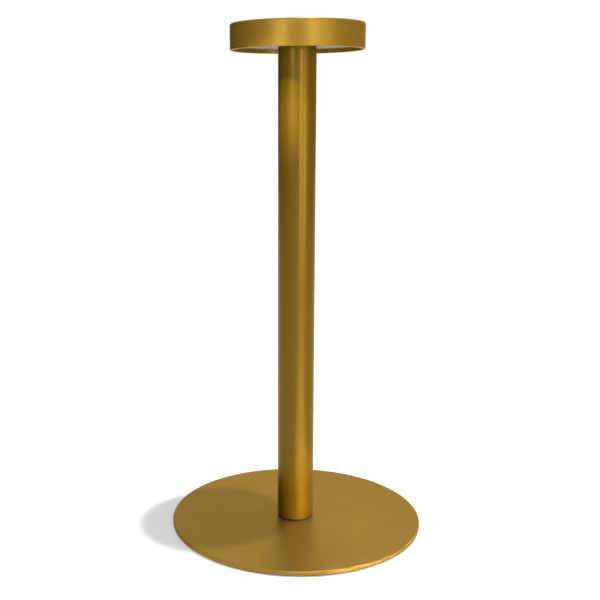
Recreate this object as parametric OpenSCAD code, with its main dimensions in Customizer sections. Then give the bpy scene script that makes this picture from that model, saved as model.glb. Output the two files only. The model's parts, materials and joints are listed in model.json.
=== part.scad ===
// Cordless table lamp: a thin round base plate, a straight tube stem and a shallow drum head
// that throws its light down through a recessed opal ring. The rechargeable cell stands in the
// stem, and the electronics lie in the head. Millimetres, +Z up, the origin at the centre of the
// face that the lamp rests on. The front is -Y, and the charging port is at the back, +Y.

/* [Base] */
// Diameter of the base plate
base_d = 153; // [120:1:200]
// Thickness of the base plate
base_t = 2.4; // [2:0.1:5]
// Rounding of the plate's top edge
base_round = 0.3; // [0.2:0.1:1]
// Rounding of the plate's lower edge
base_round_low = 0.2; // [0.1:0.1:0.8]
// Thickness of the anti-slip pad under the plate
pad_t = 0.8; // [0.5:0.1:2]
// How far the pad's edge lies inside the plate's edge
pad_inset = 1; // [0.5:0.1:4]

/* [Stem] */
// Overall height, to the top face of the head
lamp_h = 300; // [220:1:400]
// Outer diameter of the stem tube
stem_d = 22; // [22:0.5:26]
// Wall of the stem tube
stem_wall = 1.2; // [0.8:0.1:1.3]
// Chamfer on the tube's lower edge
stem_chamfer = 0.5; // [0.2:0.1:0.7]
// Thickness of the dark gasket between the stem and the plate
gasket_t = 1; // [0.5:0.1:2]
// How far the gasket's edge lies inside the stem's edge
gasket_inset = 0.3; // [0.1:0.1:1]
// Length of the plug in the stem's lower end
foot_plug_l = 14; // [10:1:30]
// Length of the plug in the stem's upper end
top_plug_l = 12; // [10:1:30]

/* [Battery] */
// Diameter of the cell
cell_d = 18.4; // [14:0.1:18.4]
// Length of the cell
cell_l = 65; // [50:1:70]
// Foam under the cell
cushion_t = 3; // [1:0.5:6]
// Foam plug above the cell
cushion_top_t = 8; // [4:0.5:15]
// Thickness of the metal strip from the cell's lower end
strip_t = 0.2; // [0.1:0.05:0.2]
// Width of that strip
strip_w = 4; // [3:0.5:4]
// Diameter of the battery leads over their insulation
lead_d = 1.2; // [0.8:0.1:1.4]

/* [Head] */
// Outer diameter of the head
head_d = 77; // [70:1:110]
// Side wall of the head shell
head_wall = 1.5; // [1.2:0.1:1.8]
// Top wall of the head shell
head_top = 1.2; // [1:0.1:2.5]
// Rounding of the head's top edge
head_round = 0.8; // [0.3:0.1:0.8]
// Rounding of the head's lower lip
lip_round = 0.4; // [0.2:0.1:0.5]
// Depth of the diffuser above the shell's lower lip
diffuser_recess = 2.5; // [1:0.1:5]
// Thickness of the diffuser
diffuser_t = 1.5; // [1:0.1:3]
// Space between the diffuser and the LED board
light_gap = 2; // [1.7:0.1:6]
// Thickness of the LED board
led_board_t = 1; // [0.8:0.1:1.6]
// Thickness of the carrier plate
carrier_t = 1.5; // [1.4:0.1:3]
// Height of the spacers under the control board
spacer_t = 0.6; // [0.4:0.1:3]
// Thickness of the control board
board_t = 1; // [0.8:0.1:1.6]
// Room between the control board and the shell's top wall
board_room = 3.2; // [3:0.1:6]
// Diameter of the screw bosses inside the shell
boss_d = 6; // [5:0.5:7]

/* [Lighting] */
// Number of LEDs on the ring
led_count = 24; // [12:6:24]
// Distance of the LED ring from the LED board's edge
led_inset = 9; // [7:0.5:10]
// Space between the stem and the bore of the LED board
led_bore_gap = 4; // [3:0.5:5]

/* [Button] */
// Diameter of the push button
button_d = 12; // [8:0.5:16]
// How far the button stands above the head
button_proud = 0.4; // [0:0.1:1]
// Travel of the button
button_travel = 0.4; // [0.2:0.05:0.5]

/* [Charging port] */
// Width of the port's soft cover
cover_w = 14; // [12:0.5:18]
// Height of the port's soft cover
cover_h = 5.6; // [4.6:0.1:5.6]
// Thickness of the soft cover
cover_t = 0.75; // [0.5:0.05:0.8]

/* [Hidden] */
$fn = 64;
// Clearances
fit_gap = 0.05;
loose_gap = 0.2;
free_gap = 0.3;
seat_gap = 0.1;
// Overcut for cuts that open at a face
over = 1;

// Levels from the table up
z_plate = pad_t;
z_gasket = z_plate + base_t;
z_stem = z_gasket + gasket_t;
head_h = diffuser_recess + diffuser_t + light_gap + led_board_t + carrier_t
    + spacer_t + board_t + board_room + head_top;
z_head = lamp_h - head_h;
z_diffuser = z_head + diffuser_recess;
z_diffuser_top = z_diffuser + diffuser_t;
z_led_face = z_diffuser_top + light_gap;
z_carrier = z_led_face + led_board_t;
z_spacer = z_carrier + carrier_t;
z_board = z_spacer + spacer_t;
z_board_top = z_board + board_t;
z_ceiling = lamp_h - head_top;

// Radii shared by the pieces that fit together
stem_r = stem_d / 2;
stem_bore_r = stem_r - stem_wall;
plug_r = stem_bore_r - fit_gap;
cushion_r = stem_bore_r - loose_gap;
cell_r = cell_d / 2;
head_r = head_d / 2;
head_in_r = head_r - head_wall;
boss_inset = 0.5;
boss_pitch_r = head_in_r - boss_d / 2 - boss_inset;
led_board_r = boss_pitch_r - boss_d / 2;
board_margin = 1;
board_r = led_board_r - board_margin;
carrier_r = head_in_r - free_gap;

// Screws: [thread diameter, head diameter, head height]
m2 = [2, 3.8, 1.2];
m25 = [2.5, 4.5, 1.4];
m3 = [3, 5.6, 1.3];
screw_slack = 0.2;
slot_w = 0.5;
slot_depth = 0.5;
thread_room = 1;

// Screw circles and angles, three screws each
stem_screw_r = 6.5;
stem_screw_l = 8;
foot_screw_bite = 5.5;
shell_screw_bite = 3.5;
led_screw_inset = 3;
led_screw_r = led_board_r - led_screw_inset;
board_screw_inset = 4;
board_screw_r = board_r - board_screw_inset;
spacer_d = 4.8;
first_set = [30, 150, 270];
second_set = [90, 210, 330];

// Diffuser pegs
peg_d = 3.4;
peg_tip_d = 2;
peg_tip_short = 0.2;

// Battery, standing on the foam above the foot plug
z_cushion = z_stem + foot_plug_l;
z_strip = z_cushion + cushion_t;
z_cell = z_strip + strip_t;
z_cell_top = z_cell + cell_l;
cell_cap_d = 6;
cell_cap_h = 0.6;
cell_crimp_r = 0.8;
cushion_bore_d = 9;
strip_y = cell_r + fit_gap;
strip_rise = 4;

// Leads: they cross from the cell to a hole beside the stem's axis
lead_hole_d = 4.2;
lead_hole_y = -5.5;
lead_x = 0.8;
connector = [6, 4, 2.4];
connector_y = -10.2;
red_route = [
    [lead_x, -1, z_cell_top + cell_cap_h], [lead_x, -1, z_cell_top + 4],
    [lead_x, -2, z_cell_top + 10], [lead_x, -4.5, z_cell_top + 20],
    [lead_x, lead_hole_y, z_cell_top + 28], [lead_x, lead_hole_y, z_carrier - 20],
    [lead_x, lead_hole_y, z_board_top - 0.4], [lead_x, -6, z_board_top + 0.5],
    [lead_x, -7.1, z_board_top + 0.9], [lead_x, connector_y, z_board_top + 0.9]
];
black_start_y = strip_y - lead_d / 2 - fit_gap;
black_route = [
    [-lead_x, black_start_y, z_cell_top + 0.5], [-lead_x, black_start_y, z_cell_top + 4],
    [-lead_x, 5, z_cell_top + 14], [-lead_x, -2, z_cell_top + 24],
    [-lead_x, lead_hole_y, z_cell_top + 34], [-lead_x, lead_hole_y, z_carrier - 20],
    [-lead_x, lead_hole_y, z_board_top - 0.4], [-lead_x, -6, z_board_top + 0.5],
    [-lead_x, -7.1, z_board_top + 0.9], [-lead_x, connector_y, z_board_top + 0.9]
];

// LEDs and the pins between the two boards
led_size = [3.5, 2.8, 0.7];
led_ring_r = led_board_r - led_inset;
pin_d = 0.8;
pin_half_pitch = 1.27;
pin_inset = 1;
pin_r = led_screw_r - pin_inset;
pin_turn = 300;
pin_proud = 0.8;
pin_hole_d = 5;

// Parts on the control board
chip_size = [5, 4, 1.5];
coil_size = [4, 4, 2];
small_size = [3, 2, 0.8];
chip_x = 14;
chip_y = 6;
coil_y = -8;
small_x = 10;
small_y = 14;

// Charging socket, sunk into a notch of the control board
usb_w = 8.94;
usb_h = 3.16;
usb_l = 7.3;
usb_wall = 0.3;
usb_sink = 0.8;
usb_setback = 0.5;
usb_mouth_y = head_in_r - usb_setback;
usb_back_y = usb_mouth_y - usb_l;
z_usb = z_board_top - usb_sink;
z_port = z_usb + usb_h / 2;
usb_ear = [1.2, 3, 0.3];
tongue = [6.7, 4.5, 0.7];
board_tab_margin = 3;
board_tab_w = usb_w + 2 * board_tab_margin;
usb_overhang = 1.5;
board_tab_y = usb_mouth_y - usb_overhang;
port_gap = 0.35;

// Soft cover: a pad in a pocket of the shell, on a strap anchored beside it
pocket_gap = 0.15;
lug_inset = 0.3;
cover_lug_w = usb_w - 2 * lug_inset;
cover_lug_h = usb_h - 2 * lug_inset;
cover_lug_l = 0.5;
hinge_gap = 0.4;
anchor_w = 3;
anchor_turn = asin((cover_w / 2 + hinge_gap + anchor_w / 2) / head_r);
anchor_pin_d = 1.5;
anchor_barb_d = 2.6;
anchor_barb_l = 0.8;
corner_r = 1.2;
bead_d = cover_t - 2 * fit_gap;
bead_h = cover_h - corner_r;
bead_x = -(cover_w - cover_t) / 2;
bead_y = sqrt(pow(head_r - cover_t / 2, 2) - pow(bead_x, 2));

// Push button and the switch under it
button_lip = 1.5;
button_flange_d = button_d + 2 * button_lip;
button_flange_t = 0.8;
button_round = 0.3;
nub_d = 4;
switch_size = [4.5, 4.5, 0.8];
plunger_d = 2;
plunger_rise = 0.4;
z_plunger_top = z_board_top + switch_size[2] + plunger_rise;
z_flange = z_ceiling - seat_gap - button_flange_t;

// Half section of a disc with its two outer edges rounded
module disc_section(r, h, round_top, round_low) {
    translate([0, round_low]) square([r, h - round_top - round_low]);
    square([r - round_low, h]);
    square([r - round_top, h]);
    translate([r - round_low, round_low]) circle(round_low);
    translate([r - round_top, h - round_top]) circle(round_top);
}

module rounded_disc(r, h, round_top, round_low) {
    rotate_extrude() intersection() {
        disc_section(r, h, round_top, round_low);
        square([r, h]);
    }
}

// Copies round the axis at a list of angles
module ring_of(angles, radius) {
    for (a = angles) rotate([0, 0, a]) translate([radius, 0, 0]) children();
}

// Flat-headed screw, its head's underside at z 0 and its shank towards +Z
module pan_screw(size, length) {
    difference() {
        union() {
            translate([0, 0, -size[2]]) cylinder(d = size[1], h = size[2]);
            cylinder(d = size[0], h = length);
        }
        translate([-size[1] / 4, -slot_w / 2, -size[2] - over])
            cube([size[1] / 2, slot_w, slot_depth + over]);
        translate([-slot_w / 2, -size[1] / 4, -size[2] - over])
            cube([slot_w, size[1] / 2, slot_depth + over]);
    }
}

// Countersunk screw, the flat of its head at z 0 and its shank towards +Z
module sunk_screw(size, length) {
    difference() {
        union() {
            cylinder(d1 = size[1], d2 = size[0], h = size[2]);
            cylinder(d = size[0], h = length);
        }
        translate([-size[1] / 4, -slot_w / 2, -over])
            cube([size[1] / 2, slot_w, slot_depth + over]);
        translate([-slot_w / 2, -size[1] / 4, -over])
            cube([slot_w, size[1] / 2, slot_depth + over]);
    }
}

// Countersunk hole for that screw, through a plate of the given thickness
module sunk_hole(size, plate) {
    slack = 2 * fit_gap;
    cylinder(d1 = size[1] + slack, d2 = size[0] + slack, h = size[2]);
    translate([0, 0, -over]) cylinder(d = size[0] + screw_slack, h = plate + 2 * over);
}

module tapped_hole(size, depth) {
    cylinder(d = size[0] + 2 * fit_gap, h = depth);
}

// Slab with round ends, lying along X, its depth along Y
module stadium(w, h, depth) {
    r = h / 2;
    translate([-w / 2 + r, 0, -r]) cube([w - h, depth, h]);
    for (side = [-1, 1])
        translate([side * (w / 2 - r), 0, 0]) rotate([-90, 0, 0]) cylinder(r = r, h = depth);
}

// Slab with rounded corners, centred on X and Z, its depth along Y
module corner_slab(w, h, depth, r) {
    translate([-w / 2 + r, 0, -h / 2]) cube([w - 2 * r, depth, h]);
    translate([-w / 2, 0, -h / 2 + r]) cube([w, depth, h - 2 * r]);
    for (x = [-1, 1], z = [-1, 1])
        translate([x * (w / 2 - r), 0, z * (h / 2 - r)])
            rotate([-90, 0, 0]) cylinder(r = r, h = depth);
}

// Part of a drum's wall between two radii
module wall_ring(r_out, r_in, low, high) {
    translate([0, 0, low]) difference() {
        cylinder(r = r_out, h = high - low);
        translate([0, 0, -over]) cylinder(r = r_in, h = high - low + 2 * over);
    }
}

// Round lead swept along its route
function unit(v) = v / norm(v);
function run_of(p, i) = unit(p[min(i + 1, len(p) - 1)] - p[max(i - 1, 0)]);
module lead(route, d, sides = 8) {
    rings = [
        for (i = [0 : len(route) - 1])
            let (run = run_of(route, i), u = unit(cross([1, 0, 0], run)), v = cross(run, u))
                for (k = [0 : sides - 1])
                    let (a = 360 * k / sides) route[i] + d / 2 * (cos(a) * u + sin(a) * v)
    ];
    walls = [
        for (i = [0 : len(route) - 2], k = [0 : sides - 1])
            let (a = i * sides + k, b = i * sides + (k + 1) % sides)
                each [[a, a + sides, b + sides], [a, b + sides, b]]
    ];
    last = (len(route) - 1) * sides;
    caps = [
        [for (k = [0 : sides - 1]) k],
        [for (k = [sides - 1 : -1 : 0]) last + k]
    ];
    polyhedron(rings, concat(walls, caps));
}

// Base

module base_plate() {
    color("goldenrod") difference() {
        translate([0, 0, z_plate]) rounded_disc(base_d / 2, base_t, base_round, base_round_low);
        translate([0, 0, z_plate]) ring_of(second_set, stem_screw_r) sunk_hole(m3, base_t);
    }
}

module base_pad() {
    color("dimgray") cylinder(r = base_d / 2 - pad_inset, h = pad_t);
}

module foot_screws() {
    color("silver") translate([0, 0, z_plate])
        ring_of(second_set, stem_screw_r) sunk_screw(m3, base_t + gasket_t + foot_screw_bite);
}

module foot_gasket() {
    color("black") translate([0, 0, z_gasket]) difference() {
        cylinder(r = stem_r - gasket_inset, h = gasket_t);
        translate([0, 0, -over]) ring_of(second_set, stem_screw_r)
            cylinder(d = m3[0] + screw_slack, h = gasket_t + 2 * over);
    }
}

// Stem

module stem_tube() {
    color("goldenrod") difference() {
        union() {
            translate([0, 0, z_stem])
                cylinder(r1 = stem_r - stem_chamfer, r2 = stem_r, h = stem_chamfer);
            translate([0, 0, z_stem + stem_chamfer])
                cylinder(r = stem_r, h = z_carrier - z_stem - stem_chamfer);
        }
        translate([0, 0, z_stem - over]) cylinder(r = stem_bore_r, h = z_carrier - z_stem + 2 * over);
    }
}

module foot_plug() {
    bite = foot_screw_bite + thread_room;
    color("lightgray") translate([0, 0, z_stem]) difference() {
        cylinder(r = plug_r, h = foot_plug_l);
        translate([0, 0, -over]) ring_of(second_set, stem_screw_r) tapped_hole(m3, bite + over);
    }
}

module top_plug() {
    bite = stem_screw_l - carrier_t + thread_room;
    color("lightgray") translate([0, 0, z_carrier - top_plug_l]) difference() {
        cylinder(r = plug_r, h = top_plug_l);
        translate([0, lead_hole_y, -over]) cylinder(d = lead_hole_d, h = top_plug_l + 2 * over);
        translate([0, 0, top_plug_l - bite]) ring_of(second_set, stem_screw_r)
            tapped_hole(m3, bite + over);
    }
}

module stem_screws() {
    color("silver") translate([0, 0, z_spacer])
        ring_of(second_set, stem_screw_r) rotate([180, 0, 0]) sunk_screw(m3, stem_screw_l);
}

// Battery

module battery_cell() {
    color("steelblue") translate([0, 0, z_cell]) {
        rounded_disc(cell_r, cell_l, cell_crimp_r, cell_crimp_r);
        cylinder(d = cell_cap_d, h = cell_l + cell_cap_h);
    }
}

module cell_strip() {
    color("lightgray") {
        translate([-strip_w / 2, 0, z_strip]) cube([strip_w, strip_y + strip_t, strip_t]);
        translate([-strip_w / 2, strip_y, z_strip])
            cube([strip_w, strip_t, strip_t + cell_l + strip_rise]);
    }
}

module lower_cushion() {
    color("darkslategray") translate([0, 0, z_cushion]) cylinder(r = cushion_r, h = cushion_t);
}

// The foam has a slot at the back for the strip and its lead
module upper_cushion() {
    slot = strip_w + 2 * loose_gap;
    color("darkslategray") translate([0, 0, z_cell_top]) difference() {
        cylinder(r = cushion_r, h = cushion_top_t);
        translate([0, 0, -over]) cylinder(d = cushion_bore_d, h = cushion_top_t + 2 * over);
        translate([-slot / 2, 0, -over]) cube([slot, stem_r, cushion_top_t + 2 * over]);
    }
}

module red_lead() {
    color("firebrick") lead(red_route, lead_d);
}

module black_lead() {
    color("black") lead(black_route, lead_d);
}

// Head

module shell_cup() {
    translate([0, 0, z_head]) rotate_extrude() difference() {
        intersection() {
            disc_section(head_r, head_h, head_round, lip_round);
            square([head_r, head_h]);
        }
        translate([-over, -over]) square([head_in_r + over, head_h - head_top + over]);
    }
}

module port_pocket() {
    pocket_r = head_r - cover_t - pocket_gap;
    pocket_w = cover_w + hinge_gap + anchor_w + 2 * loose_gap;
    intersection() {
        wall_ring(head_r + over, pocket_r, z_head, lamp_h);
        translate([-(hinge_gap + anchor_w) / 2, head_in_r / 2, z_port])
            corner_slab(pocket_w, cover_h + 2 * loose_gap, head_r, corner_r);
    }
}

module head_shell() {
    boss_h = z_ceiling - z_spacer;
    color("goldenrod") difference() {
        union() {
            shell_cup();
            translate([0, 0, z_spacer]) ring_of(first_set, boss_pitch_r)
                cylinder(d = boss_d, h = boss_h + fit_gap);
        }
        translate([0, 0, z_spacer - over]) ring_of(first_set, boss_pitch_r)
            tapped_hole(m25, shell_screw_bite + fit_gap + over);
        translate([0, 0, z_ceiling - over])
            cylinder(d = button_d + 2 * loose_gap, h = head_top + 2 * over);
        port_pocket();
        translate([0, head_in_r / 2, z_port])
            stadium(usb_w + 2 * port_gap, usb_h + 2 * port_gap, head_r);
        rotate([0, 0, anchor_turn]) translate([0, head_in_r / 2, z_port])
            rotate([-90, 0, 0]) cylinder(d = anchor_pin_d + 2 * fit_gap, h = head_r);
    }
}

module carrier_plate() {
    deep = carrier_t + 2 * over;
    color("silver") translate([0, 0, z_carrier]) difference() {
        cylinder(r = carrier_r, h = carrier_t);
        translate([0, lead_hole_y, -over]) cylinder(d = lead_hole_d, h = deep);
        ring_of([pin_turn], pin_r) translate([0, 0, -over]) cylinder(d = pin_hole_d, h = deep);
        translate([0, 0, carrier_t]) ring_of(second_set, stem_screw_r)
            rotate([180, 0, 0]) sunk_hole(m3, carrier_t);
        translate([0, 0, -over]) {
            ring_of(first_set, boss_pitch_r) cylinder(d = m25[0] + screw_slack, h = deep);
            ring_of(second_set, boss_pitch_r) cylinder(d = peg_tip_d + 2 * fit_gap, h = deep);
            ring_of(second_set, led_screw_r) tapped_hole(m2, deep);
            ring_of(first_set, board_screw_r) tapped_hole(m2, deep);
        }
    }
}

module shell_screws() {
    color("silver") translate([0, 0, z_carrier])
        ring_of(first_set, boss_pitch_r) pan_screw(m25, carrier_t + shell_screw_bite - fit_gap);
}

// Opal ring, held by pegs that snap into the carrier plate
module diffuser() {
    color("whitesmoke") {
        translate([0, 0, z_diffuser]) difference() {
            cylinder(r = head_in_r - loose_gap, h = diffuser_t);
            translate([0, 0, -over]) cylinder(r = stem_r + free_gap, h = diffuser_t + 2 * over);
        }
        ring_of(second_set, boss_pitch_r) {
            translate([0, 0, z_diffuser_top - fit_gap])
                cylinder(d = peg_d, h = z_carrier - z_diffuser_top + fit_gap);
            translate([0, 0, z_carrier - fit_gap])
                cylinder(d = peg_tip_d, h = carrier_t - peg_tip_short + fit_gap);
        }
    }
}

// Lighting

// The two places of the pins between the boards
module pin_pair() {
    for (side = [-1, 1])
        rotate([0, 0, pin_turn]) translate([pin_r, side * pin_half_pitch, 0]) children();
}

module led_board() {
    deep = led_board_t + 2 * over;
    color("white") translate([0, 0, z_led_face]) difference() {
        cylinder(r = led_board_r, h = led_board_t);
        translate([0, 0, -over]) {
            cylinder(r = stem_r + led_bore_gap, h = deep);
            ring_of(second_set, led_screw_r) cylinder(d = m2[0] + screw_slack, h = deep);
            pin_pair() cylinder(d = pin_d + 2 * fit_gap, h = deep);
        }
    }
}

module leds() {
    color("khaki") translate([0, 0, z_led_face - led_size[2]])
        ring_of([for (i = [0 : led_count - 1]) 360 * i / led_count], led_ring_r)
            translate([-led_size[0] / 2, -led_size[1] / 2, 0]) cube(led_size);
}

module led_screws() {
    color("silver") translate([0, 0, z_led_face]) ring_of(second_set, led_screw_r)
        pan_screw(m2, led_board_t + carrier_t - seat_gap);
}

module led_pins() {
    pin_l = z_board_top - z_led_face + 2 * pin_proud;
    color("gold") translate([0, 0, z_led_face - pin_proud])
        pin_pair() cylinder(d = pin_d, h = pin_l);
}

// Electronics

module control_board() {
    deep = board_t + 2 * over;
    notch_w = usb_w + 2 * seat_gap;
    color("darkgreen") translate([0, 0, z_board]) difference() {
        union() {
            cylinder(r = board_r, h = board_t);
            translate([-board_tab_w / 2, 0, 0]) cube([board_tab_w, board_tab_y, board_t]);
        }
        translate([-notch_w / 2, usb_back_y - seat_gap, -over]) cube([notch_w, usb_l + over, deep]);
        translate([0, lead_hole_y, -over]) cylinder(d = lead_hole_d, h = deep);
        translate([0, 0, -over]) ring_of(first_set, board_screw_r)
            cylinder(d = m2[0] + screw_slack, h = deep);
        translate([0, 0, -over]) pin_pair() cylinder(d = pin_d + 2 * fit_gap, h = deep);
    }
}

module board_spacers() {
    color("white") translate([0, 0, z_spacer]) ring_of(first_set, board_screw_r) difference() {
        cylinder(d = spacer_d, h = spacer_t);
        translate([0, 0, -over]) cylinder(d = m2[0] + screw_slack, h = spacer_t + 2 * over);
    }
}

module board_screws() {
    color("silver") translate([0, 0, z_board_top]) ring_of(first_set, board_screw_r)
        rotate([180, 0, 0]) pan_screw(m2, board_t + spacer_t + carrier_t - seat_gap);
}

// Block on the control board's top face, centred at x, y
module board_block(x, y, size) {
    translate([x - size[0] / 2, y - size[1] / 2, z_board_top]) cube(size);
}

// Charger, driver and dimmer chips with their coil
module board_chips() {
    color("black") {
        for (side = [-1, 1]) {
            board_block(side * chip_x, chip_y, chip_size);
            board_block(side * small_x, small_y, small_size);
        }
        board_block(-chip_x, coil_y, coil_size);
        board_block(chip_x, coil_y, small_size);
    }
}

module battery_connector() {
    color("ivory")
        translate([-connector[0] / 2, connector_y - connector[1], z_board_top]) cube(connector);
}

module usb_socket() {
    color("silver") difference() {
        translate([0, usb_back_y, z_port]) {
            stadium(usb_w, usb_h, usb_l);
            for (side = [-1, 1])
                translate([side * (usb_w / 2 + usb_ear[0] / 2 - usb_wall) - usb_ear[0] / 2,
                    usb_ear[1] / 2, usb_h / 2 - usb_h + usb_sink])
                    cube(usb_ear);
        }
        translate([0, usb_back_y + usb_wall, z_port])
            stadium(usb_w - 2 * usb_wall, usb_h - 2 * usb_wall, usb_l);
    }
}

module usb_tongue() {
    color("black") translate([-tongue[0] / 2, usb_back_y + usb_wall, z_port - tongue[2] / 2])
        cube(tongue);
}

// Soft cover of the port: its pad fills the pocket, its lug closes the slot, and it turns on the
// bead at its end
module port_cover() {
    pad_in_r = head_r - cover_t;
    color("goldenrod") {
        difference() {
            intersection() {
                wall_ring(head_r, pad_in_r, z_head, lamp_h);
                translate([0, head_in_r / 2, z_port])
                    corner_slab(cover_w, cover_h, head_r, corner_r);
            }
            translate([bead_x - cover_w, 0, z_head]) cube([cover_w, head_d, head_h]);
        }
        translate([bead_x, bead_y, z_port - bead_h / 2]) cylinder(d = bead_d, h = bead_h);
        intersection() {
            wall_ring(head_r - cover_t / 2, pad_in_r - cover_lug_l, z_head, lamp_h);
            translate([0, head_in_r / 2, z_port]) stadium(cover_lug_w, cover_lug_h, head_r);
        }
    }
}

// The strap's end: a pad in the pocket, and a barbed pin through the wall
module cover_anchor() {
    color("goldenrod") rotate([0, 0, anchor_turn]) {
        intersection() {
            wall_ring(head_r, head_r - cover_t, z_head, lamp_h);
            translate([0, head_in_r / 2, z_port])
                corner_slab(anchor_w, cover_h, head_r, corner_r);
        }
        translate([0, head_in_r - seat_gap, z_port]) rotate([-90, 0, 0])
            cylinder(d = anchor_pin_d, h = head_wall + seat_gap - cover_t / 2);
        translate([0, head_in_r - seat_gap - anchor_barb_l, z_port]) rotate([-90, 0, 0])
            cylinder(d = anchor_barb_d, h = anchor_barb_l);
    }
}

// Switch

module tact_switch() {
    color("dimgray") translate([0, 0, z_board_top]) difference() {
        translate([-switch_size[0] / 2, -switch_size[1] / 2, 0]) cube(switch_size);
        translate([0, 0, -over])
            cylinder(d = plunger_d + 2 * fit_gap, h = switch_size[2] + 2 * over);
    }
}

module switch_plunger() {
    z_low = z_board_top + button_travel + fit_gap;
    color("black") translate([0, 0, z_low]) cylinder(d = plunger_d, h = z_plunger_top - z_low);
}

module power_button() {
    color("goldenrod") {
        translate([0, 0, z_flange]) cylinder(d = button_flange_d, h = button_flange_t);
        translate([0, 0, z_flange])
            rounded_disc(button_d / 2, lamp_h + button_proud - z_flange, button_round, button_round);
        translate([0, 0, z_plunger_top]) cylinder(d = nub_d, h = z_flange - z_plunger_top + fit_gap);
    }
}

base_plate();
base_pad();
foot_screws();
foot_gasket();
stem_tube();
foot_plug();
top_plug();
stem_screws();
battery_cell();
cell_strip();
lower_cushion();
upper_cushion();
red_lead();
black_lead();
head_shell();
carrier_plate();
shell_screws();
diffuser();
led_board();
leds();
led_screws();
led_pins();
control_board();
board_spacers();
board_screws();
board_chips();
battery_connector();
usb_socket();
usb_tongue();
port_cover();
cover_anchor();
tact_switch();
switch_plunger();
power_button();
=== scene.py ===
import json
import math

import bmesh
import bpy
from bpy.props import FloatProperty, FloatVectorProperty, IntProperty, PointerProperty
from mathutils import Matrix, Vector


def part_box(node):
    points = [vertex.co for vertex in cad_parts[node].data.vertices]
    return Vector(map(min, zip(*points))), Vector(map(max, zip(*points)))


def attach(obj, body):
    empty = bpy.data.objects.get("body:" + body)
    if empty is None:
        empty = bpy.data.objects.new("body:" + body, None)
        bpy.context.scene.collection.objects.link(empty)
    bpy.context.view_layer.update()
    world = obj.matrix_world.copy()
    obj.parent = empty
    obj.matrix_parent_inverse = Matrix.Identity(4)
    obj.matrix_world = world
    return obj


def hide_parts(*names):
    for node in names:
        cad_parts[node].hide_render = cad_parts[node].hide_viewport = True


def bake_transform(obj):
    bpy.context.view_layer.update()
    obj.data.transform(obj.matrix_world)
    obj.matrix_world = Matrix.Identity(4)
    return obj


bl_info = {
    "name": "Cordless table lamp",
    "version": (1, 0, 0),
    "blender": (4, 5, 0),
    "location": "View3D > Sidebar > Lamp",
    "description": "Models and finishes a slim gold table lamp round its packed solids",
    "category": "Object",
}

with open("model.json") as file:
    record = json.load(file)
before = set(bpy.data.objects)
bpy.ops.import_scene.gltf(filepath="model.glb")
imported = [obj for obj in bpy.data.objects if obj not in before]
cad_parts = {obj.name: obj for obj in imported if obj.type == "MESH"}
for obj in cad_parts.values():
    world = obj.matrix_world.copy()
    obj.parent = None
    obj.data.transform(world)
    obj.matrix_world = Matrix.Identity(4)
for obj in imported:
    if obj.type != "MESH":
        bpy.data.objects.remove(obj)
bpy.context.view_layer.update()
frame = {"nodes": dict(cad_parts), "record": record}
MM = 0.001
# Points nearer than WELD are one point, and a ring of edges lies within NEAR of its corner
WELD = 1e-7
NEAR = 1e-6
# Width of the strips in which a soft piece, or the thin strap, follows the head's round side
STRIP_PITCH = 0.5 * MM
STRAP_PITCH = 0.1 * MM
WHITE = (1, 1, 1, 1)
BLACK = (0, 0, 0, 1)


# Sizes, colours and studio values that a user would change. These five functions give a value its
# name, its description, its default and its unit, subtype or limits.


def length(name, description, millimetres):
    return FloatProperty(
        name=name, description=description, default=millimetres * MM, unit="LENGTH", precision=5)


def tint(name, description, colour):
    return FloatVectorProperty(
        name=name, description=description, default=colour, subtype="COLOR", size=3, min=0, max=1)


def angle(name, description, radians):
    return FloatProperty(name=name, description=description, default=radians, subtype="ANGLE")


def power(name, description, watts):
    return FloatProperty(
        name=name, description=description, default=watts, unit="POWER", precision=4)


def share(name, description, value):
    return FloatProperty(name=name, description=description, default=value, min=0, max=1)


class LampSizes(bpy.types.PropertyGroup):
    """Sizes that the solids don't carry"""

    steps: IntProperty(
        name="Steps round", description="Faces round each turned piece",
        default=192, min=48, max=320)
    plate_round: length("Plate edge", "Rounding of the base plate's top edge", 0.45)
    plate_round_low: length("Plate lower edge", "Rounding of the base plate's lower edge", 0.2)
    pad_groove: length("Pad groove", "Width of the grip grooves in the pad's underside", 1.6)
    pad_groove_depth: length("Pad groove depth", "Depth of the grip grooves", 0.35)
    tube_wall: length("Tube wall", "Wall of the stem tube", 1.2)
    head_wall: length("Head wall", "Wall of the head's shell", 1.5)
    tube_chamfer: length("Tube chamfer", "Chamfer on the tube's lower edge", 0.5)
    button_lip: length("Button lip", "Width of the hidden flange that keeps the button in", 1.5)
    button_flange: length("Button flange", "Thickness of that flange", 0.8)
    button_drop: length("Button drop", "From the button's top down to its flange", 1.7)
    button_nub: length("Button nub", "Radius of the nub that presses the switch", 2.0)
    button_pip: length(
        "Button pip", "Radius of the nub's pip, which keeps the nub off the switch's body", 0.8)
    button_dish: length("Button dish", "Depth of the hollow in the button's top", 0.3)
    cover_width: length("Cover width", "Width of the soft cover of the charging port", 14.0)
    cover_thick: length("Cover thickness", "Thickness of the soft cover", 0.75)
    cover_corner: length("Cover corner", "Rounding of the cover's corners", 1.2)
    lug_width: length("Lug width", "Width of the lug that closes the charging port", 8.34)
    lug_height: length("Lug height", "Height of that lug", 2.56)
    nail_groove: length("Nail groove", "Width of the groove that lifts the port's cover", 0.8)
    anchor_width: length("Anchor width", "Width of the pad that anchors the cover's strap", 3.0)
    strap_gap: length("Strap gap", "Gap between cover and anchor, which the strap bridges", 0.4)
    strap_thick: length("Strap thickness", "Thickness of the strap", 0.3)
    strap_width: length("Strap width", "Height of the thin strap that holds the cover", 2.4)
    foam_bore: length("Foam bore", "Radius of the hole in the upper foam", 4.5)
    foam_slot: length("Foam slot", "Width of the slot for the strip in the upper foam", 4.4)


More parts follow.
